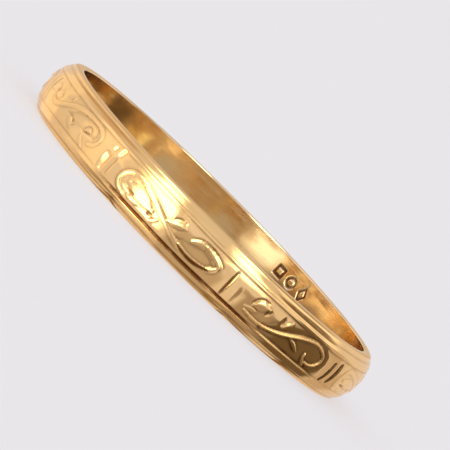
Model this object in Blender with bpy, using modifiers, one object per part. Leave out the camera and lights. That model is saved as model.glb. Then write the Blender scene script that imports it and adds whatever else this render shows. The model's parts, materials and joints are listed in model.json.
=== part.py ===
"""Scrolled wedding band: one ring of yellow gold, lying on its rim.

The ring's axis is +Z and the origin is the centre of the rim it rests on.
Angles run round the girth from -Y (the front) towards +X (the right).
"""

import math

import bpy
from mathutils import Matrix, Vector

MM = 0.001

# Driving dimensions, in millimetres.
CROWN_RADIUS = 9.60      # highest point of the domed outside
BORE_RADIUS = 8.675       # finger hole
BAND_WIDTH = 2.54        # along the axis
DOME_DROP = 0.53         # how far the outside falls from the crown to the rim
DOME_POWER = 2.4         # 2 is a plain arc, more is a flatter crown
FIELD_HALF = 0.72        # half the height of the sunken, scrolled field
FIELD_DEPTH = 0.05       # how far the field lies under the dome
BEAD_HALF = 0.06         # half the flat top of the raised line beside the field
BEAD_CENTRE = 0.82
BEAD_LIFT = 0.02         # how far the raised line stands over the dome
GROOVE_CENTRE = 0.985
GROOVE_HALF = 0.07
GROOVE_DEPTH = 0.07
RIM_FLAT_INNER = 8.86    # the flat that the ring rests on
RIM_FLAT_OUTER = 8.96
RIM_ROUND_HEIGHT = 0.11  # rounding between the rim and the dome
BORE_ROUND_HEIGHT = 0.16  # rounding between the rim and the bore

# The girth is set out by hand: three panels at the front, five alike behind.
FRONT_DIVIDERS = (-72.3, -30.6, 15.2, 58.0)
PANELS_BEHIND = 5

# Scroll of a panel. Across is measured from the panel's left divider along the
# girth, up from the middle of the width; each volute is a centre and half sizes.
LEFT_FORM = {
    "left": (1.06, -0.05), "left_half": (0.46, 0.45),
    "right": (5.33, 0.06), "right_half": (0.66, 0.48),
}
WIDE_FORM = {
    "left": (1.53, 0.06), "left_half": (0.62, 0.49),
    "right": (5.88, 0.04), "right_half": (0.82, 0.44),
}
RIGHT_FORM = {
    "left": (1.57, -0.05), "left_half": (0.47, 0.45),
    "right": (5.39, -0.02), "right_half": (0.53, 0.50),
}
FRONT_FORMS = (LEFT_FORM, WIDE_FORM, RIGHT_FORM)
STEM_RADIUS = 0.085
STEM_SINK = 0.01         # the stem's middle lies this far under the field
LEAF_RADIUS = 0.10
LOBE_PLACE = (0.50, 0.13)       # from the middle of the small volute
LOBE_SIZE = (0.70, 0.18, 0.075)  # half sizes along, up and out
LOBE_TILT = 8                   # degrees

FLUTE_RADIUS = 0.17
FLUTE_HALF = 0.62
FLUTE_DEPTH = 0.07
FLUTE_SPACING = 3.4      # degrees between the two flutes of a divider
DEGREE = CROWN_RADIUS * math.pi / 180  # girth of one degree

TURN_STEPS = 112
SHARP_ANGLE = 25         # degrees; edges sharper than this show as lines
ROUND_STEPS = 3
DOME_STEPS = 3
MERGE = 0.00001


def dome_radius(up):
    """Radius of the domed outside at a height from the middle of the width."""
    return CROWN_RADIUS - DOME_DROP * abs(2 * up / BAND_WIDTH) ** DOME_POWER


def on_girth(angle, up, lift):
    """Point over the dome, in metres, at an angle in degrees."""
    turn = math.radians(angle)
    radius = dome_radius(up) + lift
    across = Vector((radius * math.sin(turn), -radius * math.cos(turn), up + BAND_WIDTH / 2))
    return across * MM


def quarter(corner_radius, corner_up, side_radius, side_up, steps):
    """Points of a quarter ellipse from a rim's flat down to the side below it."""
    points = []
    for step in range(steps + 1):
        turn = math.radians(90 * step / steps)
        radius = corner_radius + (side_radius - corner_radius) * math.sin(turn)
        up = side_up + (corner_up - side_up) * math.cos(turn)
        points.append((radius, up))
    return points


def upper_outside():
    """Outside of the upper half, from the rim's flat down to the crown."""
    rim = BAND_WIDTH / 2
    side_up = rim - RIM_ROUND_HEIGHT
    points = quarter(RIM_FLAT_OUTER, rim, dome_radius(side_up), side_up, ROUND_STEPS)
    marks = (
        (GROOVE_CENTRE + GROOVE_HALF, 0),
        (GROOVE_CENTRE, -GROOVE_DEPTH),
        (BEAD_CENTRE + BEAD_HALF, BEAD_LIFT),
        (BEAD_CENTRE - BEAD_HALF, BEAD_LIFT),
    )
    for up, lift in marks:
        points.append((dome_radius(up) + lift, up))
    for step in range(DOME_STEPS):
        up = FIELD_HALF * (1 - step / DOME_STEPS)
        points.append((dome_radius(up) - FIELD_DEPTH, up))
    points.append((dome_radius(0) - FIELD_DEPTH, 0))
    return points


def section():
    """Whole cross-section: down the outside, then up the bore."""
    upper = upper_outside()
    lower = [(radius, -up) for radius, up in reversed(upper[:-1])]
    rim = BAND_WIDTH / 2
    bore_up = rim - BORE_ROUND_HEIGHT
    top_round = quarter(RIM_FLAT_INNER, rim, BORE_RADIUS, bore_up, ROUND_STEPS)
    bottom_round = [(radius, -up) for radius, up in top_round]
    return upper + lower + bottom_round + list(reversed(top_round))


def make_collection(name):
    collection = bpy.data.collections.new(name)
    bpy.context.scene.collection.children.link(collection)
    return collection


def gold():
    material = bpy.data.materials.new("yellow_gold")
    material.use_nodes = True
    shader = material.node_tree.nodes["Principled BSDF"]
    shader.inputs["Base Color"].default_value = (0.86, 0.60, 0.28, 1)
    shader.inputs["Metallic"].default_value = 1.0
    shader.inputs["Roughness"].default_value = 0.16
    return material


def turned_blank(collection):
    """The plain band, turned about the axis."""
    points = section()
    mesh = bpy.data.meshes.new("blank")
    vertices = [(radius * MM, 0, (up + BAND_WIDTH / 2) * MM) for radius, up in points]
    count = len(points)
    edges = [(index, (index + 1) % count) for index in range(count)]
    mesh.from_pydata(vertices, edges, [])
    blank = bpy.data.objects.new("blank", mesh)
    collection.objects.link(blank)
    turn = blank.modifiers.new("turn", "SCREW")
    turn.angle = math.radians(360)
    turn.steps = TURN_STEPS
    turn.render_steps = TURN_STEPS
    turn.use_merge_vertices = True
    turn.merge_threshold = MERGE
    return blank


def panels():
    """Left divider, scroll and way up of each panel, round the girth."""
    behind = FRONT_DIVIDERS[0] + 360 - FRONT_DIVIDERS[-1]
    starts = list(FRONT_DIVIDERS)
    for step in range(1, PANELS_BEHIND):
        starts.append(FRONT_DIVIDERS[-1] + behind * step / PANELS_BEHIND)
    found = []
    for index, start in enumerate(starts):
        turned_over = index % 2 == 1
        if index < len(FRONT_FORMS):
            form = FRONT_FORMS[index]
        else:
            form = WIDE_FORM if turned_over else RIGHT_FORM
        found.append((start, form, -1 if turned_over else 1))
    return found


def arc(centre, half, first, last, first_scale, steps):
    """Spiral arc: the size grows evenly from first_scale to 1 or back."""
    points = []
    for step in range(steps + 1):
        part = step / steps
        turn = math.radians(first + (last - first) * part)
        scale = first_scale + (1 - first_scale) * part
        across = centre[0] + half[0] * scale * math.cos(turn)
        up = centre[1] + half[1] * scale * math.sin(turn)
        points.append((across, up))
    return points


def sweep(start, start_pull, end, end_pull, steps):
    """Points between two ends of a cubic Bezier, without the ends."""
    points = []
    for step in range(1, steps):
        t = step / steps
        weights = ((1 - t) ** 3, 3 * t * (1 - t) ** 2, 3 * t * t * (1 - t), t ** 3)
        handles = (start, start_pull, end_pull, end)
        across = sum(weight * handle[0] for weight, handle in zip(weights, handles))
        up = sum(weight * handle[1] for weight, handle in zip(weights, handles))
        points.append((across, up))
    return points


def stem_path(form):
    """S-shaped stem: a small volute, a rising sweep and a large volute."""
    small = arc(form["left"], form["left_half"], 20, 275, 0.7, 7)
    large = list(reversed(arc(form["right"], form["right_half"], -175, 105, 0.85, 8)))
    start = small[-1]
    end = large[0]
    reach = 0.45 * (end[0] - start[0])
    start_pull = (start[0] + reach, start[1] - 0.03)
    end_pull = (end[0] - reach * 0.7, end[1] - 0.16)
    return small + sweep(start, start_pull, end, end_pull, 6) + large


def leaf_paths(form):
    """A short leaf over the stem and a longer one under it."""
    left = form["left"][0]
    span = form["right"][0] - left
    over = [(left + 0.35 * span, 0.02), (left + 0.39 * span, 0.23), (left + 0.45 * span, 0.42)]
    under = [(left + 0.53 * span, -0.07), (left + 0.63 * span, -0.17), (left + 0.72 * span, -0.36)]
    return [over, under]


def tube(points, start, flip, lift, radius, ends):
    """Round wire laid on the band along points of a panel, as a mesh object."""
    curve = bpy.data.curves.new("wire", "CURVE")
    curve.dimensions = "3D"
    curve.bevel_depth = radius * MM
    curve.bevel_resolution = 1
    curve.use_fill_caps = True
    spline = curve.splines.new("POLY")
    spline.points.add(len(points) - 1)
    for index, (across, up) in enumerate(points):
        place = on_girth(start + across / DEGREE, up * flip, lift)
        spline.points[index].co = (*place, 1)
        if index in (0, len(points) - 1):
            spline.points[index].radius = ends
    wire = bpy.data.objects.new("wire", curve)
    bpy.context.scene.collection.objects.link(wire)
    seen = wire.evaluated_get(bpy.context.evaluated_depsgraph_get())
    mesh = bpy.data.meshes.new_from_object(seen)
    bpy.data.objects.remove(wire)
    return mesh


def lobe(form, start, flip):
    """Rounded bud inside the small volute, as a mesh."""
    across = form["left"][0] + LOBE_PLACE[0]
    angle = start + across / DEGREE
    place = on_girth(angle, LOBE_PLACE[1] * flip, -FIELD_DEPTH)
    bpy.ops.mesh.primitive_uv_sphere_add(segments=8, ring_count=5, radius=MM)
    ball = bpy.context.object
    mesh = ball.data
    along, over, out = LOBE_SIZE
    facing = Matrix.Rotation(math.radians(angle), 4, "Z")
    tilt = Matrix.Rotation(math.radians(-LOBE_TILT * flip), 4, "Y")
    mesh.transform(Matrix.Translation(place) @ facing @ tilt @ Matrix.Diagonal((along, out, over, 1)))
    bpy.data.objects.remove(ball)
    return mesh


def joined(name, meshes, collection):
    """One hidden cutter object that holds several closed meshes."""
    parts = []
    for mesh in meshes:
        part = bpy.data.objects.new(name, mesh)
        collection.objects.link(part)
        parts.append(part)
    with bpy.context.temp_override(active_object=parts[0], selected_editable_objects=parts):
        bpy.ops.object.join()
    whole = parts[0]
    weld = whole.modifiers.new("weld", "WELD")
    weld.merge_threshold = MERGE
    whole.hide_render = True
    whole.display_type = "WIRE"
    return whole


def flute(angle):
    """Cutter for one upright flute of a divider."""
    bpy.ops.mesh.primitive_cylinder_add(vertices=12, radius=FLUTE_RADIUS * MM, depth=2 * FLUTE_HALF * MM)
    rod = bpy.context.object
    mesh = rod.data
    turn = math.radians(angle)
    reach = CROWN_RADIUS - FIELD_DEPTH - FLUTE_DEPTH + FLUTE_RADIUS
    middle = Vector((reach * math.sin(turn), -reach * math.cos(turn), BAND_WIDTH / 2)) * MM
    mesh.transform(Matrix.Translation(middle) @ Matrix.Rotation(turn, 4, "Z"))
    bpy.data.objects.remove(rod)
    return mesh


def combine(blank, other, operation):
    step = blank.modifiers.new(other.name, "BOOLEAN")
    step.operation = operation
    step.solver = "EXACT"
    step.object = other


def finished(blank, collection):
    """The band as one smooth-shaded mesh with crisp edges at the chased work."""
    seen = blank.evaluated_get(bpy.context.evaluated_depsgraph_get())
    mesh = bpy.data.meshes.new_from_object(seen)
    mesh.shade_smooth()
    mesh.set_sharp_from_angle(angle=math.radians(SHARP_ANGLE))
    mesh.materials.clear()
    mesh.materials.append(gold())
    bpy.data.objects.remove(blank)
    band = bpy.data.objects.new("band", mesh)
    collection.objects.link(band)
    return band


def build():
    for item in list(bpy.data.objects):
        bpy.data.objects.remove(item)
    parts = make_collection("wedding_band")
    tools = make_collection("cutters")
    blank = turned_blank(tools)

    stems = []
    leaves = []
    lobes = []
    flutes = []
    raised = -FIELD_DEPTH - STEM_SINK
    for start, form, flip in panels():
        stems.append(tube(stem_path(form), start, flip, raised, STEM_RADIUS, 0.6))
        for path in leaf_paths(form):
            leaves.append(tube(path, start, flip, raised, LEAF_RADIUS, 0.35))
        lobes.append(lobe(form, start, flip))
        for side in (-0.5, 0.5):
            flutes.append(flute(start + side * FLUTE_SPACING))

    combine(blank, joined("flutes", flutes, tools), "DIFFERENCE")
    combine(blank, joined("stems", stems, tools), "UNION")
    combine(blank, joined("leaves", leaves, tools), "UNION")
    combine(blank, joined("lobes", lobes, tools), "UNION")
    finished(blank, parts)


build()
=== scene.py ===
"""Looks of the scrolled wedding band: fine chased relief in worn, polished yellow gold.

Lengths are in millimetres until they are put in a mesh. Angles run round the
girth from -Y (the front) towards +X, and "up" is measured from mid-width.
"""

import json
import math

import bpy
import numpy as np
from mathutils import Matrix, Vector

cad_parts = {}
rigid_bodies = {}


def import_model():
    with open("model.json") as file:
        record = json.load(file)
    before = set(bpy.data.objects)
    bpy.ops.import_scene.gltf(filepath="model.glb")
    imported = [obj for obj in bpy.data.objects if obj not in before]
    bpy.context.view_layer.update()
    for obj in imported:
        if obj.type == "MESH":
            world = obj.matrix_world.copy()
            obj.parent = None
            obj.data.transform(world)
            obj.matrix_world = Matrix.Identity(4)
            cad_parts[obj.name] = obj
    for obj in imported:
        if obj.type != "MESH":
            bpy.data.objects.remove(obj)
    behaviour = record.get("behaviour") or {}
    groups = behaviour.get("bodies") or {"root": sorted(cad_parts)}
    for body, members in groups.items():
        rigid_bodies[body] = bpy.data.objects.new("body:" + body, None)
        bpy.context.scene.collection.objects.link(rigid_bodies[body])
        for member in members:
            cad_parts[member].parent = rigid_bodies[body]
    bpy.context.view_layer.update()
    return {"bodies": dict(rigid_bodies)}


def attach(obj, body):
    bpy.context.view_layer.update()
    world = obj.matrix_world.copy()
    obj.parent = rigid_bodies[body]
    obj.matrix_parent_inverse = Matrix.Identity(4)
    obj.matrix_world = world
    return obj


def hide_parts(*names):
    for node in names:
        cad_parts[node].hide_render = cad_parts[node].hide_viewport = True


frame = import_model()
BODY = next(iter(frame["bodies"]))

MM = 0.001

# Section of the band: as in the CAD, but with a crisper edge at the bore.
CROWN_RADIUS = 9.60
BORE_RADIUS = 8.675
BAND_WIDTH = 2.54
DOME_DROP = 0.53
DOME_POWER = 2.4
RIM_FLAT_INNER = 8.74
RIM_FLAT_OUTER = 8.96
RIM_ROUND_HEIGHT = 0.11
BORE_ROUND_HEIGHT = 0.07
HALF_WIDTH = BAND_WIDTH / 2
DEGREE = CROWN_RADIUS * math.pi / 180

# Border lines beside the sunken field: height from mid-width, half width, depth.
# The deep ones bite in three stretches of the girth, one of them the front.
FIELD_HALF = 0.715
FIELD_DEPTH = 0.036
FIELD_EDGE = (0.01, 0.05)     # how far the field's edge slopes, inwards and outwards
BEAD = (0.84, 0.07, 0.010)
BITE_UPPER_LINES = ((0.88, 0.045, 0.018),)
UPPER_LINES = ((0.80, 0.030, 0.008),)
SHOULDER_LINES = ((1.06, 0.075, 0.040),)
SHOULDER_SHARE = 0.30         # of their depth, away from the third panel
BITE_LOWER_LINES = ((0.770, 0.090, 0.085), (1.085, 0.060, 0.030))
# Painted shade: how dark the deep lower lines are coloured, as the shadowed floor under the ring would make
# them.
BITE_PAINTED_SHADE = (1.25, 0.5)
LOWER_LINES = ((0.770, 0.050, 0.012), (1.10, 0.045, 0.020))
LEDGE = (0.772, 0.050, 0.036)  # fine raised line under the third panel
LEDGE_SATIN = 0.36
THIRD_PANEL = (20, 27, 47, 54)  # degrees between which its own lines fade in and out

# Panels, as in the CAD.
FRONT_DIVIDERS = (-72.3, -30.6, 15.2, 58.0)
PANELS_BEHIND = 5

# Heights of the chased work over the field.
STEM_LIFT = 0.046
HOOK_SHARE = 0.8         # of the stem's height
PETAL_LIFT = 0.042
PETAL_FULL = 0.14        # half width from which a petal has its full height
PIT_DEPTH = 0.05
FLAT_TOP = 3.0           # power of the rounding, over 2 for worn, flattened crests
HOLLOW_DEPTH = 0.050
CREASE_DEPTH = 0.035
HOLLOW_WALL = 0.20
RELIEF_FADE = 0.08       # the work dies away this close to the field's edge
FLUTE_DEPTH = 0.085
FLUTE_FLOOR = 0.72       # how far across a flute its lowest line is
FLUTE_FLAT = 0.92        # share of its depth where its floor is levelled
FLUTE_SATIN = 0.18       # extra roughness of the flutes without painted shade
# Flutes of each divider: degrees from its middle, foot, head, half width, depth, and painted shade, a dark
# reflection coloured into the flute.
EVEN_FLUTES = ((-1.55, -0.64, 0.62, 0.12, 0.7, 0.3), (1.55, -0.64, 0.62, 0.12, 0.7, 0.3))
FLUTES = (
    EVEN_FLUTES,
    (
        (-1.40, -0.66, 0.22, 0.185, 1.3, 0.0), (-1.10, 0.36, 0.64, 0.11, 0.6, 0.0),
        (1.35, 0.34, 0.80, 0.130, 0.9, 0.0), (1.30, -0.60, 0.28, 0.11, 0.3, 0.1),
    ),
    ((-1.60, -0.70, 0.60, 0.085, 0.9, 0.9), (1.90, -0.68, 0.20, 0.085, 0.3, 0.3)),
    (
        (-1.75, -0.68, -0.30, 0.120, 0.7, 0.9), (-1.75, -0.34, 0.08, 0.120, 0.7, 0.9),
        (-1.75, 0.04, 0.44, 0.110, 0.6, 0.7), (1.60, -0.62, 0.58, 0.165, 0.8, 1.1),
    ),
)
PANEL_STRENGTH = (0.46, 1.0, 0.9, 0.4, 0.85, 0.85, 0.85, 0.45)

# Tarnish and painted shade: the colour darkens where the surface lies below its surroundings.
CREVICE_DEPTH = 0.016    # where the tarnish and painted shade are full
CREVICE_PASSES = 6       # of the blur that gives the surroundings

# Slow unevenness: waves round the girth, radians per millimetre up, shift, height.
WAVES = (
    (8, 1.3, 0.3, 0.003), (19, -2.6, 1.7, 0.0035), (33, 4.1, 4.1, 0.003),
    (47, -5.7, 2.2, 0.0018), (71, 7.9, 0.9, 0.0009),
)
WAVE_DROP = 0.004        # lowers the waves, so their crests rise little over the dome
WAVE_FADE = (0.70, 0.95)  # heights between which the waves die away
BORE_WAVES = ((9, 0.9, 2.0, 0.007), (16, -1.7, 0.4, 0.006), (27, 2.6, 1.1, 0.004), (41, -3.4, 5.0, 0.002))

# Plain punch marks in the bore.
MARKS_AT = 148.5         # degrees, middle of their row
MARKS_REACH = 9          # degrees either side
MARKS_UP = 0.42
MARK_DEPTH = 0.045

# Mesh density.
FRONT_REACH = 84         # degrees either side of the front with the finer columns
FRONT_COLUMNS = 744
BACK_COLUMNS = 400
BORE_STRIDE = 4          # the bore and lips take every fourth column
FIELD_STEPS = 34
SHOULDER_STEPS = 4
LIP_STEPS = 5

# Gold: each surface drifts between two shades.
OUTER_GOLDS = ((0.94, 0.60, 0.26, 1), (0.99, 0.66, 0.31, 1))
BORE_GOLDS = ((0.86, 0.65, 0.40, 1), (0.91, 0.71, 0.45, 1))
# Tarnish with painted shade: the colour of cuts, creases and punch marks.
TARNISH_AND_SHADE = (0.16, 0.055, 0.014, 1)
EDGE_TINT = (1.0, 0.90, 0.76, 1)  # where the metal is seen at a low angle

# Camera.
VIEW_DISTANCE = 144.0    # from the middle of the ring
VIEW_UP = 5.0            # degrees above the ring's own plane
VIEW_ROLL = 45.1         # degrees, so the band runs down to the right
VIEW_LENS = 261.8
VIEW_ASIDE = (0.3510, 0.0876)  # degrees that the ring sits left of and below the middle

# Floor and sky.
PALE = (0.815, 0.791, 0.823)   # the floor as seen, and the sky at the horizon
HIGH_SKY = (0.72, 0.70, 0.71)
SKY_CHANGE = (0.45, 0.95)      # share of the way up between which the sky dims
FLOOR_ALBEDO = 0.42
FLOOR_GLOW = (0.553, 0.545, 0.558)  # keeps the ring's shadow faint

# What the gold reflects. Cards far off: name, corners as azimuth and elevation,
# radiance, and how much of the card its edge fades over.
CARD_DISTANCE = 280
WHITE = (4.4, 4.3, 3.3)
WINDOWS = (
    ("window_left", ((-46, 20), (-16, 20), (-20, 52), (-34, 70), (-66, 70), (-56, 48)), WHITE, 0.42),
    ("window_right", ((19, 21), (50, 21), (71, 70), (34, 70)), WHITE, 0.42),
)
ROOM = (
    ("fill_right", ((56, 30), (112, 18), (126, 28), (104, 39), (88, 45), (64, 52)), (1.2, 1.15, 1.1), 0.15),
    ("shade_right", ((88, 55), (106, 44), (124, 33), (150, 38), (152, 66), (96, 74)),
     (0.28, 0.22, 0.13), 0.15),
    ("fill_left", ((-92, -3), (-50, -3), (-54, 36), (-92, 40)), (1.15, 1.06, 0.98), 0.25),
    ("bright_left", ((-150, -3), (-116, -3), (-116, 33), (-150, 22)), (1.02, 0.97, 0.92), 0.15),
    ("shade_left",
     ((-152, 15), (-131, 26), (-117, 35), (-100, 43), (-86, 53), (-80, 72), (-120, 64), (-150, 48)),
     (0.66, 0.50, 0.38), 0.15),
    ("behind", ((164, 0), (196, 0), (194, 40), (166, 40)), (0.66, 0.54, 0.39), 0.3),
)

# Sheets that lie on the floor and then stand up: name, stops, radiance, how far from
# its foot it starts, height over the floor. A stop is the place round the front where
# the camera sees it reflected, in degrees, how solid it is there, and how far up the band.
SCREEN_REACH = 55
SCREEN_FOOT = 9.14       # radius where the screens start, under the belly of the band
SCREENS = (
    ("window_left_low", (
        (-21.5, 0, 0.6), (-19.5, 1, 0.6), (-15.0, 1, 0.6), (-10.0, 1, 0.6), (-8.0, 0, 0.6),
    ), WHITE, 1.1, 0.03),
    ("ahead", (
        (-7.5, 0, 0.36), (-5.5, 1, 0.36), (2.0, 1, 0.38), (10.0, 1, 0.36), (12.0, 0, 0.36),
    ), (0.53, 0.47, 0.42), 0.0, 0.02),
    ("glow_left", (
        (-50.0, 0, 0.10), (-46.0, 0.35, 0.12), (-41.0, 0.35, 0.16), (-37.5, 1, 0.22),
        (-33.5, 1, 0.22), (-30.5, 0, 0.20),
    ), (1.10, 1.01, 0.90), 0.45, 0.02),
    ("glow_far_left", (
        (-74.0, 0, 0.20), (-69.0, 1, 0.20), (-61.0, 1, 0.20), (-57.0, 0, 0.20),
    ), (1.12, 1.03, 0.96), 0.30, 0.02),
    ("beside", (
        (17.0, 0, 0.3), (19.5, 1, 0.3), (27.0, 1, 0.3), (31.0, 0, 0.3),
    ), (0.42, 0.35, 0.30), 0.0, 0.02),
    ("dark_right", (
        (26.0, 0, 0.20), (29.5, 0.7, 0.22), (33.0, 1, 0.28), (37.0, 1, 0.45),
        (41.0, 1, 0.56), (47.0, 1, 0.62), (51.0, 1, 0.58), (53.5, 0, 0.50),
    ), (0.155, 0.115, 0.07), 0.14, 0.04),
    ("far_right", (
        (52.0, 0, 0.5), (54.5, 1, 0.5), (60.0, 1, 0.5), (66.0, 0, 0.5),
    ), (0.58, 0.50, 0.44), 0.16, 0.02),
)

# Narrow glowing strips on the floor under the belly, for the lower border to reflect: the dark ones are
# painted shadow of the ring, the bright one painted light. Name, stops of degrees and solidity, radiance,
# radii, height over the floor, and how far their edges fade. No two that overlap lie level.
PAINTED_BELLY_STRIPS = (
    ("belly_shadow_edge", ((-48, 0), (-24, 1), (20, 1), (44, 1), (52, 0)),
     (0.22, 0.14, 0.07), (9.20, 9.29), 0.010, 0.03),
    ("belly_shadow_left", ((-44, 0), (-30, 1), (-24, 1), (-20, 0)),
     (0.38, 0.31, 0.22), (9.36, 9.56), 0.014, 0.05),
    ("belly_bright", ((-23, 0), (-18, 1), (-12, 1), (-8, 0)),
     (0.95, 0.93, 0.80), (9.40, 9.56), 0.018, 0.05),
    ("belly_shadow_right", ((-9, 0), (-4, 1), (20, 1), (26, 0)),
     (0.38, 0.31, 0.21), (9.36, 9.56), 0.014, 0.05),
)

# Inside the ring: a dim sheet on the floor, painted shade that the bore reflects, and sheets that the far
# bore shows, bright ones painted light such as a caustic pool on the floor and dark ones painted shade.
# Name, stops of degrees from the back and solidity, radiance, distance from the bore where it starts, and
# height.
INSIDE_RADIUS = 8.6
INSIDE_LIE = 0.02
INSIDE_SHADE_RADIANCE = (0.50, 0.41, 0.29)
BORE_SHEETS = (
    ("inside_light", ((8.0, 0), (12.0, 0.8), (16.0, 1), (21.0, 1), (26.0, 0)), (1.7, 1.55, 1.2), 10.0, 1.2),
    ("inside_shade", ((-60, 0), (-50, 0.85), (-45, 0.85), (-36, 0)), (0.12, 0.065, 0.02), 3.0, 1.8),
    ("inside_spark", ((-37.5, 0), (-36.0, 0.9), (-34.0, 0.9), (-32, 0)), (1.1, 0.85, 0.35), 4.0, 1.0),
    ("inside_right", ((54, 0), (57, 0.9), (61, 0.9), (64, 0)), (1.0, 0.85, 0.45), 3.0, 1.2),
)
BORE_SHEET_LIE = 0.04
BORE_SHEET_GAP = 0.7     # between a sheet's upright part and the bore behind it
BORE_SHEET_RUN = 2       # least length of a sheet's level part
BORE_SHEET_FADE = 1.5    # how far its near end fades

# Chased work of each panel: degrees from its left divider, millimetres up, and
# for the panel that is turned over, the same before it is turned.
# Each crease ends in its half width and a number that sets both its depth and its painted shade.
LEFT_WORK = {
    "satin": 0.20,
    "widths": (0.115, 0.09),
    "creases": (((24.0, -0.30), (25.2, -0.16), 0.05, 0.5),),
    "stem": (
        (7.0, -0.02), (9.3, -0.20), (12.3, -0.20), (15.0, -0.04), (18.0, 0.20),
        (21.3, 0.42), (24.5, 0.55), (28.5, 0.62), (32.3, 0.60), (34.8, 0.42),
        (35.6, 0.18), (35.3, -0.06), (34.3, -0.22), (33.0, -0.30),
    ),
    "hook": ((29.3, -0.28), (30.4, -0.45), (31.8, -0.62)),
    "petals": (
        ((2.8, 0.08), (4.8, 0.22), (6.8, 0.30), 0.20),
        ((7.9, 0.06), (9.8, 0.12), (11.8, 0.14), 0.20),
        ((8.7, 0.62), (9.6, 0.56), (10.6, 0.48), 0.08),
        ((16.2, 0.22), (17.0, 0.36), (18.2, 0.58), 0.10),
        ((20.8, -0.10), (22.2, -0.22), (24.0, -0.42), 0.15),
        ((29.2, 0.00), (30.2, 0.13), (31.6, 0.12), 0.13),
    ),
    "pits": ((7.3, 0.20, 0.7, 0.16), (23.2, -0.15, 0.9, 0.10), (17.0, 0.40, 0.6, 0.09)),
    "hollow": (
        (19.5, -0.02), (22.5, 0.32), (26.0, 0.50), (30.0, 0.55), (33.0, 0.48),
        (34.2, 0.20), (33.8, -0.05), (30.0, -0.10), (24.0, -0.16),
    ),
}
WIDE_WORK = {
    "satin": 0.0,
    "widths": (0.118, 0.10),
    "creases": (
        ((28.2, 0.41), (30.4, 0.48), (32.6, 0.50), (35.2, 0.455), (38.2, 0.30), 0.105, 1.6),
        ((23.5, -0.30), (24.8, -0.45), (26.6, -0.46), 0.050, 0.9),
        ((29.8, -0.22), (32.0, -0.47), (35.0, -0.53), (38.2, -0.45), (40.6, -0.26), 0.050, 0.8),
        ((9.0, 0.26), (10.2, 0.31), (11.6, 0.27), 0.060, 0.9),
        ((17.0, 0.33), (18.0, 0.42), 0.060, 0.8),
    ),
    "stem": (
        (8.6, 0.60), (6.8, 0.52), (5.5, 0.25), (5.5, -0.05), (6.4, -0.30),
        (8.4, -0.46), (11.6, -0.43), (14.6, -0.31), (17.6, -0.18), (20.6, 0.02),
        (23.6, 0.20), (27.6, 0.42), (31.6, 0.50), (35.6, 0.44), (38.6, 0.24),
        (39.7, -0.06), (38.4, -0.25), (35.8, -0.36), (34.3, -0.42),
    ),
    "hook": ((33.6, -0.40), (32.2, -0.30), (30.4, -0.12)),
    "petals": (
        ((8.4, 0.02), (13.2, 0.10), (18.0, 0.20), 0.27),
        ((18.3, 0.68), (19.3, 0.50), (20.6, 0.30), 0.10),
        ((22.4, -0.02), (24.8, -0.13), (27.3, -0.30), 0.13),
        ((10.0, 0.48), (12.0, 0.50), (14.2, 0.44), 0.12),
    ),
    "pits": ((18.3, 0.36, 1.1, 0.10), (9.6, 0.28, 1.8, 0.07)),
    "hollow": (
        (26.6, 0.22), (30.0, 0.38), (34.0, 0.42), (37.3, 0.30), (38.4, 0.00), (37.0, -0.15),
        (34.2, -0.26), (31.5, -0.10), (28.0, 0.04),
    ),
}
RIGHT_WORK = {
    "satin": 0.34,
    "widths": (0.085, 0.08),
    "creases": (
        ((6.4, -0.02), (6.9, 0.26), (8.4, 0.46), (10.4, 0.50), 0.060, 1.0),
        ((12.0, 0.12), (12.4, 0.30), 0.055, 0.7),
        ((16.6, 0.10), (16.9, 0.34), 0.055, 0.8),
    ),
    "stem": (
        (6.0, -0.40), (9.8, -0.46), (13.6, -0.40), (17.8, -0.20), (20.8, 0.02),
        (23.8, 0.26), (26.8, 0.43), (29.8, 0.53), (32.6, 0.46), (34.8, 0.27),
        (35.3, -0.03), (34.3, -0.29), (32.6, -0.42), (31.0, -0.42),
    ),
    "hook": ((29.0, -0.10), (29.4, -0.32), (31.4, -0.60)),
    "petals": (
        ((6.9, 0.02), (9.2, 0.20), (11.6, 0.30), 0.21),
        ((17.5, 0.12), (18.3, 0.28), (19.4, 0.52), 0.12),
        ((21.4, -0.02), (23.6, -0.12), (26.0, -0.30), 0.09),
        ((5.4, -0.26), (7.3, -0.20), (9.0, -0.16), 0.10),
    ),
    "pits": ((11.6, 0.14, 0.5, 0.12), (16.8, 0.30, 0.5, 0.20)),
    "hollow": (
        (12.5, -0.30), (15.0, -0.15), (18.0, 0.10), (21.0, 0.36), (24.0, 0.55),
        (27.0, 0.64), (31.0, 0.66), (34.3, 0.58), (36.4, 0.36), (37.0, 0.04),
        (36.6, -0.28), (35.4, -0.55), (34.0, -0.85), (22.0, -0.85), (13.5, -0.85), (12.0, -0.50),
    ),
}
FRONT_WORK = (LEFT_WORK, WIDE_WORK, RIGHT_WORK)
WIDE_SPAN = 45.8         # degrees between the dividers that WIDE_WORK is drawn for
RIGHT_SPAN = 42.8        # and RIGHT_WORK


def smooth(first, last, value):
    """0 before first, 1 after last, and an even ramp between them."""
    t = np.clip((value - first) / (last - first), 0, 1)
    return t * t * (3 - 2 * t)


def dome_radius(up):
    """Radius of the plain domed outside."""
    return CROWN_RADIUS - DOME_DROP * np.abs(up / HALF_WIDTH) ** DOME_POWER


# ---------------------------------------------------------------- chased work

def through(points, steps=5):
    """Smooth line through points given in degrees and millimetres, in millimetres."""
    knots = np.array([(turn * DEGREE, up) for turn, up in points])
    padded = np.concatenate([[2 * knots[0] - knots[1]], knots, [2 * knots[-1] - knots[-2]]])
    line = [knots[0]]
    for a, b, c, d in zip(padded[:-3], padded[1:-2], padded[2:-1], padded[3:]):
        for step in range(1, steps + 1):
            t = step / steps
            line.append(0.5 * (
                2 * b + (c - a) * t + (2 * a - 5 * b + 4 * c - d) * t ** 2
                + (3 * b - a - 3 * c + d) * t ** 3
            ))
    return np.array(line)


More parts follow.
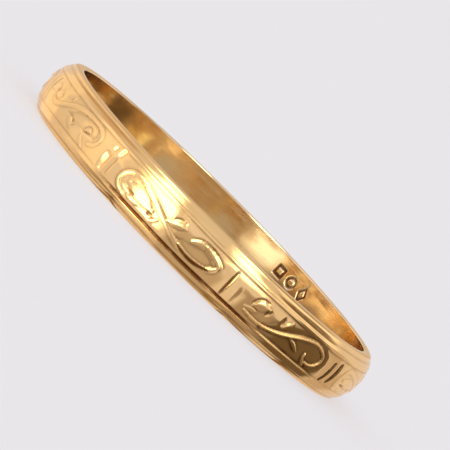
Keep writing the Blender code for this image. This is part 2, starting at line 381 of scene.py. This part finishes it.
def path_distance(across, up, path):
    """Distance to a path and how far along it, from 0 to 1, for each point."""
    best = np.full(across.shape, 1e9)
    along = np.zeros(across.shape)
    lengths = np.hypot(*np.diff(path, axis=0).T)
    ends = np.concatenate([[0], np.cumsum(lengths)])
    for index, length in enumerate(lengths):
        start = path[index]
        step = (path[index + 1] - start) / length
        reach = np.clip((across - start[0]) * step[0] + (up - start[1]) * step[1], 0, length)
        apart = np.hypot(across - start[0] - step[0] * reach, up - start[1] - step[1] * reach)
        nearer = apart < best
        best = np.where(nearer, apart, best)
        along = np.where(nearer, (ends[index] + reach) / ends[-1], along)
    return best, along


def outline_distance(across, up, outline):
    """Distance to a closed outline, negative inside it."""
    closed = np.concatenate([outline, outline[:1]])
    apart, _ = path_distance(across, up, closed)
    inside = np.zeros(across.shape, bool)
    for (x0, y0), (x1, y1) in zip(closed[:-1], closed[1:]):
        if y0 == y1:
            continue
        crosses = (y0 > up) != (y1 > up)
        inside ^= crosses & (across < x0 + (x1 - x0) * (up - y0) / (y1 - y0))
    return np.where(inside, -apart, apart)


def ridge(apart, half, power=2.0):
    """Rounded ridge, 1 on its line and 0 from half its width outwards."""
    return np.clip(1 - np.abs(apart / half) ** power, 0, 1)


def stroke(across, up, points, half, tail=0.55):
    """Raised line that thins towards its two ends."""
    apart, along = path_distance(across, up, through(points))
    return ridge(apart, half * (tail + (1 - tail) * np.sin(np.pi * along) ** 0.5), FLAT_TOP)


def petal(across, up, points, half):
    """Leaf that swells along its line and ends in two points."""
    apart, along = path_distance(across, up, through(points))
    return ridge(apart, half * np.sin(np.pi * np.clip(along, 0.06, 0.94)) ** 0.6, FLAT_TOP)


def panel_relief(across, up, work):
    """Height of a panel's chased work over the field, the painted shade in its creases, and its satin."""
    outline = np.array([(turn * DEGREE, height) for turn, height in work["hollow"]])
    outside = outline_distance(across, up, outline)
    height = -HOLLOW_DEPTH * smooth(HOLLOW_WALL / 2, -HOLLOW_WALL / 2, outside)
    for *points, half in work["petals"]:
        raised = petal(across, up, points, half)
        lift = PETAL_LIFT * min(1, half / PETAL_FULL)
        height = np.maximum(height, height + (lift - height) * raised)
    for turn, rise, wide, tall in work["pits"]:
        off = ((across / DEGREE - turn) / wide) ** 2 + ((up - rise) / tall) ** 2
        height = height - PIT_DEPTH * np.exp(-off)
    stem_half, hook_half = work["widths"]
    satin = np.zeros(across.shape)
    for points, half, share in ((work["hook"], hook_half, HOOK_SHARE), (work["stem"], stem_half, 1.0)):
        raised = stroke(across, up, points, half)
        height = np.maximum(height, height + (STEM_LIFT * share - height) * raised)
        satin = np.maximum(satin, work["satin"] * np.clip(3 * raised, 0, 1))
    tone = np.zeros(across.shape)
    # Painted shade: each crease is cut and coloured darker along its line.
    for *points, half, painted_shade in work["creases"]:
        line = stroke(across, up, points, half, 0.3)
        height = height - CREASE_DEPTH * painted_shade * line
        tone = np.maximum(tone, painted_shade * line)
    return height, tone, satin


def panels():
    """Left divider, right divider, work and way up of each panel."""
    behind = FRONT_DIVIDERS[0] + 360 - FRONT_DIVIDERS[-1]
    starts = list(FRONT_DIVIDERS)
    for step in range(1, PANELS_BEHIND):
        starts.append(FRONT_DIVIDERS[-1] + behind * step / PANELS_BEHIND)
    found = []
    for index, start in enumerate(starts):
        after = starts[index + 1] if index + 1 < len(starts) else starts[0] + 360
        turned_over = index % 2 == 1
        if index < len(FRONT_WORK):
            work = FRONT_WORK[index]
        else:
            work = WIDE_WORK if turned_over else RIGHT_WORK
        found.append((start, after, work, -1 if turned_over else 1))
    return found


# ---------------------------------------------------------------- the band's mesh

def nearest_turn(degrees):
    """The same angles, from -180 up to 180 degrees."""
    return (degrees + 180) % 360 - 180


def third_panel(angle_grid):
    """1 along the third front panel and 0 elsewhere."""
    off = nearest_turn(angle_grid)
    return smooth(*THIRD_PANEL[:2], off) * (1 - smooth(*THIRD_PANEL[2:], off))


def border(up, wander, bite, third):
    """Lift over the dome of the field and the lines; bite and third say where theirs are."""
    height = np.abs(up) - wander
    lift = -FIELD_DEPTH * (1 - smooth(FIELD_HALF - FIELD_EDGE[0], FIELD_HALF + FIELD_EDGE[1], height))
    lift = lift + BEAD[2] * ridge(height - BEAD[0], BEAD[1])
    above = (up > 0) * 1.0
    lift = lift + third * (1 - above) * LEDGE[2] * ridge(height - LEDGE[0], LEDGE[1])
    shoulder = above * (1 - bite) * (SHOULDER_SHARE + (1 - SHOULDER_SHARE) * third)
    sets = (
        (BITE_UPPER_LINES, above * bite), (UPPER_LINES, above * (1 - bite)), (SHOULDER_LINES, shoulder),
        (BITE_LOWER_LINES, (1 - above) * bite), (LOWER_LINES, (1 - above) * (1 - bite)),
    )
    for lines, there in sets:
        for centre, half, depth in lines:
            lift = lift - there * depth * ridge(height - centre, half)
    return lift


def flute_cut(off, up, foot, head, half):
    """How deep a flute is cut, from 0 to 1, at degrees off its line and heights."""
    part = off * DEGREE / (2 * half) + 0.5
    reach = np.abs(2 * up - foot - head) / (head - foot)
    end = np.clip(1 - reach ** 4, 0, 1) ** 0.6
    cut = np.minimum(part / FLUTE_FLOOR, (1 - part) / (1 - FLUTE_FLOOR))
    return np.clip(cut, 0, FLUTE_FLAT) / FLUTE_FLAT * end


def outside_lift(angles, up):
    """Lift over the dome, the tarnish and painted shade in its cuts, its satin, and where it is kept free
    of both.
    """
    angle_grid, up_grid = np.meshgrid(angles, up, indexing="ij")
    turn = np.radians(angle_grid)
    wander = np.where(up_grid > 0, -0.025 * np.sin(2 * turn), 0.0275 * np.cos(4 * turn))
    wander = wander + 0.006 * np.sin(11 * turn + 2.1)
    bite = smooth(-0.3, 0.5, np.cos(3 * turn))
    third = third_panel(angle_grid)
    lift = border(up_grid, wander, bite, third)
    tone = np.zeros(lift.shape)
    # Painted shade along the deep lower lines.
    for (centre, half, _), painted_shade in zip(BITE_LOWER_LINES, BITE_PAINTED_SHADE):
        line = ridge(up_grid + wander + centre, half)
        tone = np.maximum(tone, bite * painted_shade * np.clip(2.2 * line, 0, 1))
    height = np.abs(up_grid)
    ledge = third * (up_grid < 0) * ridge(height - wander - LEDGE[0], LEDGE[1])
    satin = LEDGE_SATIN * np.clip(3 * ledge, 0, 1)

    window = 1 - smooth(FIELD_HALF - RELIEF_FADE, FIELD_HALF, height)
    for (start, after, work, way), strength in zip(panels(), PANEL_STRENGTH):
        wrapped = (angle_grid - start) % 360
        here = (wrapped < after - start) & (height < FIELD_HALF)
        stretch = 1.0
        if start > FRONT_DIVIDERS[-1] - 1:
            stretch = (RIGHT_SPAN if work is RIGHT_WORK else WIDE_SPAN) / (after - start)
        across = wrapped[here] * DEGREE * stretch
        relief, painted_shade, satin[here] = panel_relief(across, up_grid[here] * way, work)
        lift[here] += relief * strength * window[here]
        tone[here] = np.maximum(tone[here], painted_shade)

    bright = np.zeros(lift.shape)
    for index, (start, _, _, _) in enumerate(panels()):
        for place, foot, head, half, deep, painted_shade in FLUTES[index] if index < len(FLUTES) else EVEN_FLUTES:
            off = nearest_turn(angle_grid - start - place)
            cut = flute_cut(off, up_grid, foot, head, half)
            lift = np.minimum(lift, lift - (lift + FIELD_DEPTH + FLUTE_DEPTH * deep) * cut)
            # Painted shade in the flutes meant to look dark; the others stay clean, satin and bright.
            tone = np.maximum(tone, painted_shade * np.clip(1.5 * cut, 0, 1))
            if not painted_shade:
                satin = np.maximum(satin, FLUTE_SATIN * np.clip(2 * cut, 0, 1))
                bright = np.maximum(bright, np.clip(4 * cut, 0, 1))
    return lift, tone, satin, bright


def unevenness(angles, up, waves):
    """Sum of slow waves left by the hammer and by years of wear, in millimetres."""
    turn = np.radians(angles)[:, None]
    height = up[None, :]
    total = np.zeros((len(angles), len(up)))
    for turns, climb, shift, size in waves:
        total += size * np.sin(turns * turn + climb * height + shift)
    return total


def blur(values, passes):
    """Values smoothed round the girth and from row to row."""
    for _ in range(passes):
        values = (np.roll(values, 1, 0) + 2 * values + np.roll(values, -1, 0)) / 4
        wide = np.pad(values, ((0, 0), (1, 1)), mode="edge")
        values = (wide[:, :-2] + 2 * values + wide[:, 2:]) / 4
    return values


def rows_through(*knots):
    """Heights from knot to knot, each given with the steps up to the next; the last is left out."""
    runs = [np.linspace(knots[i][0], knots[i + 1][0], knots[i][1] + 1)[:-1] for i in range(len(knots) - 1)]
    return np.concatenate(runs)


def heights():
    """Heights of the outside's rows, top to bottom, closer where there is work."""
    side = HALF_WIDTH - RIM_ROUND_HEIGHT
    above = rows_through((side, 5), (0.95, 4), (0.84, 5), (FIELD_HALF, 0))
    below = rows_through((side, 5), (1.05, 3), (0.86, 7), (FIELD_HALF, 0))
    field = np.linspace(FIELD_HALF, -FIELD_HALF, FIELD_STEPS + 1)
    return np.concatenate([above, field, -below[::-1]])


def columns():
    """Angles of the columns, closer together at the front."""
    front = np.linspace(-FRONT_REACH, FRONT_REACH, FRONT_COLUMNS, endpoint=False)
    back = np.linspace(FRONT_REACH, 360 - FRONT_REACH, BACK_COLUMNS, endpoint=False)
    between = (back[1:] + back[:-1]) / 2
    between = between[np.abs(between - MARKS_AT) < MARKS_REACH]
    return np.concatenate([front, np.sort(np.concatenate([back, between]))])


def quarter(corner, side, steps):
    """Quarter ellipse from the rim's flat to the side below it, ends included."""
    turn = np.radians(np.linspace(0, 90, steps + 1))
    radius = corner[0] + (side[0] - corner[0]) * np.sin(turn)
    up = side[1] + (corner[1] - side[1]) * np.cos(turn)
    return np.stack([radius, up], 1)


def mark_depth(angles, up):
    """Depth of three plain punch marks in the bore: lozenge, ring and square."""
    angle_grid, up_grid = np.meshgrid(angles, up, indexing="ij")
    along = (angle_grid - MARKS_AT) * math.pi / 180 * BORE_RADIUS
    rise = up_grid - MARKS_UP
    lozenge = np.abs(along + 0.86) / 0.28 + np.abs(rise) / 0.44
    circle = np.abs(np.hypot(along, rise) - 0.24) / 0.075
    square = np.maximum(np.abs(along - 0.82), np.abs(rise)) / 0.27
    shapes = (np.abs(lozenge - 0.8) / 0.28, circle, np.abs(square - 0.8) / 0.28)
    depth = np.zeros(along.shape)
    for shape in shapes:
        depth = np.maximum(depth, np.clip(1 - shape ** 2, 0, 1))
    return depth


def between_rims(first, middle, last):
    """Each column's values through one rim's profile, the surface itself, and the other rim."""
    count = len(middle)
    ends = [np.broadcast_to(end, (count, len(end))) for end in (first, last)]
    return np.concatenate([ends[0], middle, ends[1]], 1)


def outer_surface(angles):
    """Radii, heights, tarnish with painted shade, and satin of the outside, from the upper rim to the lower
    one.
    """
    up = heights()
    lift, cut_tone, satin, bright = outside_lift(angles, up)
    # Tarnish with painted shade: darker where the surface lies below its blurred surroundings, but not in
    # the flutes kept bright.
    sunk = np.clip((blur(lift, CREVICE_PASSES) - lift) / CREVICE_DEPTH, 0, 1)
    tarnish_and_shade = np.maximum(cut_tone, sunk * (1 - bright))
    lift += (unevenness(angles, up, WAVES) - WAVE_DROP) * (1 - smooth(*WAVE_FADE, np.abs(up)))
    side = HALF_WIDTH - RIM_ROUND_HEIGHT
    upper = quarter((RIM_FLAT_OUTER, HALF_WIDTH), (dome_radius(side), side), SHOULDER_STEPS)[:-1]
    lower = (upper * np.array([1, -1]))[::-1]
    radius = between_rims(upper[:, 0], dome_radius(up)[None, :] + lift, lower[:, 0])
    all_up = np.concatenate([upper[:, 1], up, lower[:, 1]])
    rims = ((0, 0), (len(upper), len(lower)))
    return radius, all_up, np.pad(tarnish_and_shade, rims), np.pad(satin, rims)


def inner_surface(angles):
    """Radii, heights, and tarnish with painted shade in the marks, of the lips and the bore, from the lower
    rim to the upper one.
    """
    side = HALF_WIDTH - BORE_ROUND_HEIGHT
    lip = quarter((RIM_FLAT_INNER, HALF_WIDTH), (BORE_RADIUS, side), LIP_STEPS)
    up = np.concatenate([
        [-side + 0.03], np.linspace(-0.95, -0.15, 6), np.linspace(-0.08, 0.90, 17), [side - 0.03],
    ])
    marks = mark_depth(angles, up)
    bore = BORE_RADIUS + unevenness(angles, up, BORE_WAVES) * smooth(side - 0.02, 0.8, np.abs(up))
    radius = between_rims(lip[:, 0], bore + MARK_DEPTH * marks, lip[::-1, 0])
    # Tarnish with painted shade in the punch marks.
    tone = np.pad(np.minimum(1.3, 2.2 * marks), ((0, 0), (len(lip), len(lip))))
    return radius, np.concatenate([-lip[:, 1], up, lip[::-1, 1]]), tone


def surface_points(radius, up, angles):
    """Points of a surface whose columns stand at the angles, in millimetres over the floor."""
    turn = np.radians(angles)[:, None]
    rise = np.broadcast_to(up + HALF_WIDTH, radius.shape)
    return np.stack([radius * np.sin(turn), -radius * np.cos(turn), rise], -1).reshape(-1, 3)


def ring_faces(outer, inner, keep):
    """Faces of both grids of points, and of the level rims that join their edges."""
    faces = []
    for grid in (outer, inner):
        right = np.roll(grid, -1, 0)
        quads = np.stack([grid[:, :-1], grid[:, 1:], right[:, 1:], right[:, :-1]], -1)
        faces.extend(quads.reshape(-1, 4).tolist())
    count = len(outer)
    for index, first in enumerate(keep):
        after = (index + 1) % len(keep)
        last = keep[after] if after else count
        span = [column % count for column in range(first, last + 1)]
        low = [int(outer[column, -1]) for column in span]
        high = [int(outer[column, 0]) for column in span]
        faces.append([int(inner[index, 0]), int(inner[after, 0])] + low[::-1])
        faces.append([int(inner[after, -1]), int(inner[index, -1])] + high)
    return faces


def band_mesh():
    """Closed ring: a fine grid outside, and a coarser one round the lips and bore."""
    angles = columns()
    outer_radius, outer_up, outer_tone, outer_satin = outer_surface(angles)
    keep = np.arange(len(angles))
    keep = keep[(keep % BORE_STRIDE == 0) | (np.abs(angles - MARKS_AT) < MARKS_REACH)]
    inner_radius, inner_up, inner_tone = inner_surface(angles[keep])
    points = np.concatenate([
        surface_points(outer_radius, outer_up, angles),
        surface_points(inner_radius, inner_up, angles[keep]),
    ])
    outer = np.arange(outer_radius.size).reshape(outer_radius.shape)
    inner = np.arange(inner_radius.size).reshape(inner_radius.shape) + outer.size

    mesh = bpy.data.meshes.new("band_fine")
    mesh.from_pydata((points * MM).tolist(), [], ring_faces(outer, inner, keep))
    layers = {
        "tarnish_and_shade": (outer_tone, inner_tone),
        "satin": (outer_satin, np.zeros(inner_radius.shape)),
        "inside": (np.zeros(outer_radius.shape), np.ones(inner_radius.shape)),
    }
    for name, parts in layers.items():
        layer = mesh.attributes.new(name, "FLOAT", "POINT")
        values = np.concatenate([part.reshape(-1) for part in parts])
        layer.data.foreach_set("value", values.astype(np.float32))
    mesh.shade_smooth()
    return mesh


# ---------------------------------------------------------------- gold

def gold_material():
    """Polished gold of two drifting shades, with tarnish and painted shade in its cuts, hairlines and small
    dents.
    """
    material = bpy.data.materials.new("worn_yellow_gold")
    material.use_nodes = True
    nodes = material.node_tree.nodes
    links = material.node_tree.links
    shader = nodes["Principled BSDF"]
    shader.inputs["Metallic"].default_value = 1.0
    shader.inputs["Specular Tint"].default_value = EDGE_TINT
    place = nodes.new("ShaderNodeTexCoord")

    def painted(name):
        node = nodes.new("ShaderNodeAttribute")
        node.attribute_name = name
        return node.outputs["Fac"]

    def noise(scale, detail, stretch=(1, 1, 1)):
        spread = nodes.new("ShaderNodeMapping")
        spread.inputs["Scale"].default_value = stretch
        texture = nodes.new("ShaderNodeTexNoise")
        texture.inputs["Scale"].default_value = scale
        texture.inputs["Detail"].default_value = detail
        links.new(place.outputs["Object"], spread.inputs["Vector"])
        links.new(spread.outputs["Vector"], texture.inputs["Vector"])
        return texture.outputs["Fac"]

    def ramp(source, low, high, low_value, high_value):
        node = nodes.new("ShaderNodeMapRange")
        node.inputs["From Min"].default_value = low
        node.inputs["From Max"].default_value = high
        node.inputs["To Min"].default_value = low_value
        node.inputs["To Max"].default_value = high_value
        links.new(source, node.inputs["Value"])
        return node.outputs["Result"]

    def feed(socket, value):
        if hasattr(value, "is_output"):
            links.new(value, socket)
        else:
            socket.default_value = value

    def mix(factor, first, second):
        node = nodes.new("ShaderNodeMix")
        node.data_type = "RGBA"
        for index, value in ((0, factor), (6, first), (7, second)):
            feed(node.inputs[index], value)
        return node.outputs[2]

    def maths(operation, first, second):
        node = nodes.new("ShaderNodeMath")
        node.operation = operation
        feed(node.inputs[0], first)
        feed(node.inputs[1], second)
        return node.outputs[0]

    def bump(height, strength, distance):
        node = nodes.new("ShaderNodeBump")
        node.inputs["Strength"].default_value = strength
        node.inputs["Distance"].default_value = distance
        links.new(height, node.inputs["Height"])
        return node

    tarnish_and_shade = painted("tarnish_and_shade")
    drift = ramp(noise(350, 3), 0.3, 0.7, 0, 1)
    clean = mix(painted("inside"), mix(drift, *OUTER_GOLDS), mix(drift, *BORE_GOLDS))
    speckle = ramp(noise(1600, 4), 0.3, 0.7, 0.55, 1.0)
    # Tarnish with painted shade darkens the base colour in cuts, creases and punch marks.
    colour = mix(maths("MULTIPLY", tarnish_and_shade, speckle), clean, TARNISH_AND_SHADE)
    links.new(colour, shader.inputs["Base Color"])

    hairlines = noise(900, 2, (1, 1, 14))
    rubbed = ramp(hairlines, 0.35, 0.75, 0.0, 0.04)
    blotches = ramp(noise(700, 4), 0.35, 0.75, 0.08, 0.15)
    dull = maths("ADD", maths("MULTIPLY", tarnish_and_shade, 0.24), painted("satin"))
    rough = maths("ADD", maths("ADD", blotches, rubbed), dull)
    links.new(rough, shader.inputs["Roughness"])

    dents = bump(noise(1100, 2), 0.35, 0.00002)
    scratches = bump(hairlines, 0.12, 0.000008)
    links.new(dents.outputs["Normal"], scratches.inputs["Normal"])
    links.new(scratches.outputs["Normal"], shader.inputs["Normal"])
    return material


# ---------------------------------------------------------------- studio

def make_camera():
    """Camera above the front, aimed past the ring so that it sits where it should in the frame."""
    data = bpy.data.cameras.new("camera")
    data.lens = VIEW_LENS
    data.sensor_width = 36
    data.clip_start = 0.01
    data.clip_end = 20
    camera = bpy.data.objects.new("camera", data)
    bpy.context.scene.collection.objects.link(camera)
    up = math.radians(VIEW_UP)
    middle = Vector((0, 0, HALF_WIDTH * MM))
    back = Vector((0, -math.cos(up), math.sin(up)))
    camera.location = middle + back * VIEW_DISTANCE * MM
    level = Vector((1, 0, 0))
    rise = Vector((0, math.sin(up), math.cos(up)))
    roll = math.radians(VIEW_ROLL)
    right = level * math.cos(roll) + rise * math.sin(roll)
    above = rise * math.cos(roll) - level * math.sin(roll)
    aside, below = (math.tan(math.radians(degrees)) for degrees in VIEW_ASIDE)
    aim = -back
    aim += right * aside + above * below
    aim.normalize()
    right = (right - aim * right.dot(aim)).normalized()
    above = right.cross(aim)
    camera.rotation_euler = Matrix((right, above, -aim)).transposed().to_euler()
    bpy.context.scene.camera = camera


def towards(azimuth, elevation, distance):
    """Point seen from the ring at an azimuth from -Y towards +X and an elevation."""
    turn = math.radians(azimuth)
    up = math.radians(elevation)
    return (
        distance * math.sin(turn) * math.cos(up),
        -distance * math.cos(turn) * math.cos(up),
        distance * math.sin(up),
    )


def glowing_sheet(name, points, faces, fades, radiance):
    """Sheet, in millimetres, that only shows as a reflection; it is clear where its fade is 0."""
    mesh = bpy.data.meshes.new(name)
    mesh.from_pydata([tuple(MM * part for part in point) for point in points], [], faces)
    layer = mesh.attributes.new("fade", "FLOAT", "POINT")
    layer.data.foreach_set("value", fades)

    material = bpy.data.materials.new(name)
    material.use_nodes = True
    nodes = material.node_tree.nodes
    links = material.node_tree.links
    nodes.clear()
    fade = nodes.new("ShaderNodeAttribute")
    fade.attribute_name = "fade"
    clear = nodes.new("ShaderNodeBsdfTransparent")
    glow = nodes.new("ShaderNodeEmission")
    glow.inputs["Color"].default_value = (*radiance, 1)
    blend = nodes.new("ShaderNodeMixShader")
    output = nodes.new("ShaderNodeOutputMaterial")
    links.new(fade.outputs["Fac"], blend.inputs[0])
    links.new(clear.outputs[0], blend.inputs[1])
    links.new(glow.outputs[0], blend.inputs[2])
    links.new(blend.outputs[0], output.inputs["Surface"])
    mesh.materials.append(material)

    sheet = bpy.data.objects.new(name, mesh)
    bpy.context.scene.collection.objects.link(sheet)
    sheet.visible_camera = False
    sheet.visible_diffuse = False
    sheet.visible_shadow = False


def card(name, corners, radiance, soft):
    """Card far off, fading over its outer part."""
    outer = [Vector(towards(azimuth, elevation, CARD_DISTANCE)) for azimuth, elevation in corners]
    middle = sum(outer, Vector()) / len(outer)
    inner = [corner.lerp(middle, soft) for corner in outer]
    count = len(outer)
    faces = [tuple(range(count, 2 * count))]
    for index in range(count):
        after = (index + 1) % count
        faces.append((index, after, count + after, count + index))
    glowing_sheet(name, outer + inner, faces, [0.0] * count + [1.0] * count, radiance)


def ribbon(name, rows, radiance):
    """Sheet through rows of points; each point's fourth number is its fade."""
    wide = len(rows[0])
    points = [point[:3] for row in rows for point in row]
    fades = [float(point[3]) for row in rows for point in row]
    faces = []
    for row in range(len(rows) - 1):
        for step in range(wide - 1):
            first = wide * row + step
            faces.append((first, first + 1, first + wide + 1, first + wide))
    glowing_sheet(name, points, faces, fades, radiance)


def screen(name, stops, radiance, near, lie):
    """Sheet that lies on the floor from close to the ring and then stands up."""
    rows = []
    for turn, solid, height in stops:
        foot = math.radians(turn)
        away = math.radians(2 * turn)
        slope = DOME_DROP * DOME_POWER / HALF_WIDTH * abs(height / HALF_WIDTH) ** (DOME_POWER - 1)
        tall = SCREEN_REACH * math.tan(2 * math.atan(slope) - math.radians(VIEW_UP))
        tall = max(tall, 0.5)
        profile = (
            (near, lie, 0), (near + 0.1, lie, 1), (SCREEN_REACH, lie, 1),
            (SCREEN_REACH, 0.8 * tall, 1), (SCREEN_REACH, 1.15 * tall, 0),
        )
        row = []
        for out, up, fade in profile:
            across = SCREEN_FOOT * math.sin(foot) + out * math.sin(away)
            along = -SCREEN_FOOT * math.cos(foot) - out * math.cos(away)
            row.append((across, along, up, fade * solid))
        rows.append(row)
    ribbon(name, rows, radiance)


def painted_belly_strip(name, stops, radiance, radii, lie, blend):
    """Narrow glowing strip between two radii, for the lower border to reflect; a dark one is painted shadow
    of the ring, a bright one painted light.
    """
    first, last = radii
    rows = []
    for turn, solid in stops:
        foot = math.radians(turn)
        row = []
        for radius, fade in ((first - blend, 0), (first, 1), (last, 1), (last + blend, 0)):
            row.append((radius * math.sin(foot), -radius * math.cos(foot), lie, fade * solid))
        rows.append(row)
    ribbon(name, rows, radiance)


def bore_sheet(name, stops, radiance, near, tall):
    """Sheet inside the ring that lies level towards the bore and then stands up before it; bright ones are
    painted light, dark ones painted shade.
    """
    lie = BORE_SHEET_LIE
    rows = []
    for turn, solid in stops:
        start = math.radians(turn)
        chord = 2 * BORE_RADIUS * math.cos(start) - BORE_SHEET_GAP
        near_out = min(near, chord - BORE_SHEET_RUN)
        profile = (
            (near_out, lie, 0), (near_out + BORE_SHEET_FADE, lie, 1), (chord, lie, 1),
            (chord, 0.6 * tall, 1), (chord, tall, 0),
        )
        row = []
        for out, up, fade in profile:
            across = BORE_RADIUS * math.sin(start) - out * math.sin(2 * start)
            along = BORE_RADIUS * math.cos(start) - out * math.cos(2 * start)
            row.append((across, along, up, fade * solid))
        rows.append(row)
    ribbon(name, rows, radiance)


def inside_shade_disc():
    """Painted shade: a dim sheet on the floor inside the ring, seen only in reflections."""
    turns = [math.radians(turn) for turn in range(0, 360, 10)]
    rim = [(INSIDE_RADIUS * math.cos(turn), INSIDE_RADIUS * math.sin(turn), INSIDE_LIE) for turn in turns]
    glowing_sheet("inside", rim, [tuple(range(len(rim)))], [1.0] * len(rim), INSIDE_SHADE_RADIANCE)


def make_reflections():
    """What the gold reflects: two windows, the dimmer room round them, painted shadow and light under the
    belly, and painted shade and light inside the ring.
    """
    for name, corners, radiance, soft in WINDOWS:
        card(name, corners, radiance, soft)
    for name, stops, radiance, near, lie in SCREENS:
        screen(name, stops, radiance, near, lie)
    # Painted shadow and painted light on the floor under the belly.
    for name, stops, radiance, radii, lie, blend in PAINTED_BELLY_STRIPS:
        painted_belly_strip(name, stops, radiance, radii, lie, blend)
    for name, corners, radiance, soft in ROOM:
        card(name, corners, radiance, soft)
    inside_shade_disc()
    # Painted light, such as a caustic pool on the floor, and painted shade, as sheets the bore reflects.
    for name, stops, radiance, near, tall in BORE_SHEETS:
        bore_sheet(name, stops, radiance, near, tall)


def make_floor():
    """Plain pale matt floor."""
    bpy.ops.mesh.primitive_circle_add(vertices=128, radius=6, fill_type="NGON")
    floor = bpy.context.object
    floor.name = "floor"
    material = bpy.data.materials.new("pale_floor")
    material.use_nodes = True
    shader = material.node_tree.nodes["Principled BSDF"]
    shader.inputs["Base Color"].default_value = (*(FLOOR_ALBEDO * part for part in PALE), 1)
    shader.inputs["Emission Color"].default_value = (*FLOOR_GLOW, 1)
    shader.inputs["Emission Strength"].default_value = 1.0
    shader.inputs["Roughness"].default_value = 1.0
    shader.inputs["Specular IOR Level"].default_value = 0.0
    floor.data.materials.append(material)


def make_sky():
    """Pale sky, as bright as the floor at the horizon and a little dimmer overhead."""
    world = bpy.data.worlds.new("tent")
    bpy.context.scene.world = world
    world.use_nodes = True
    nodes = world.node_tree.nodes
    links = world.node_tree.links
    sky = nodes["Background"]
    place = nodes.new("ShaderNodeTexCoord")
    split = nodes.new("ShaderNodeSeparateXYZ")
    links.new(place.outputs["Generated"], split.inputs[0])
    climb = nodes.new("ShaderNodeMapRange")
    climb.inputs["From Min"].default_value = SKY_CHANGE[0]
    climb.inputs["From Max"].default_value = SKY_CHANGE[1]
    links.new(split.outputs["Z"], climb.inputs["Value"])
    blend = nodes.new("ShaderNodeMix")
    blend.data_type = "RGBA"
    links.new(climb.outputs["Result"], blend.inputs["Factor"])
    blend.inputs[6].default_value = (*PALE, 1)
    blend.inputs[7].default_value = (*HIGH_SKY, 1)
    links.new(blend.outputs[2], sky.inputs["Color"])


def main():
    """The band on its CAD body, and the studio round it."""
    view = bpy.context.scene.view_settings
    view.view_transform = "Standard"

    band = bpy.data.objects.new("band_chased", band_mesh())
    bpy.context.scene.collection.objects.link(band)
    band.data.materials.append(gold_material())
    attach(band, BODY)
    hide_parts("band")

    make_floor()
    make_sky()
    make_reflections()
    make_camera()


main()
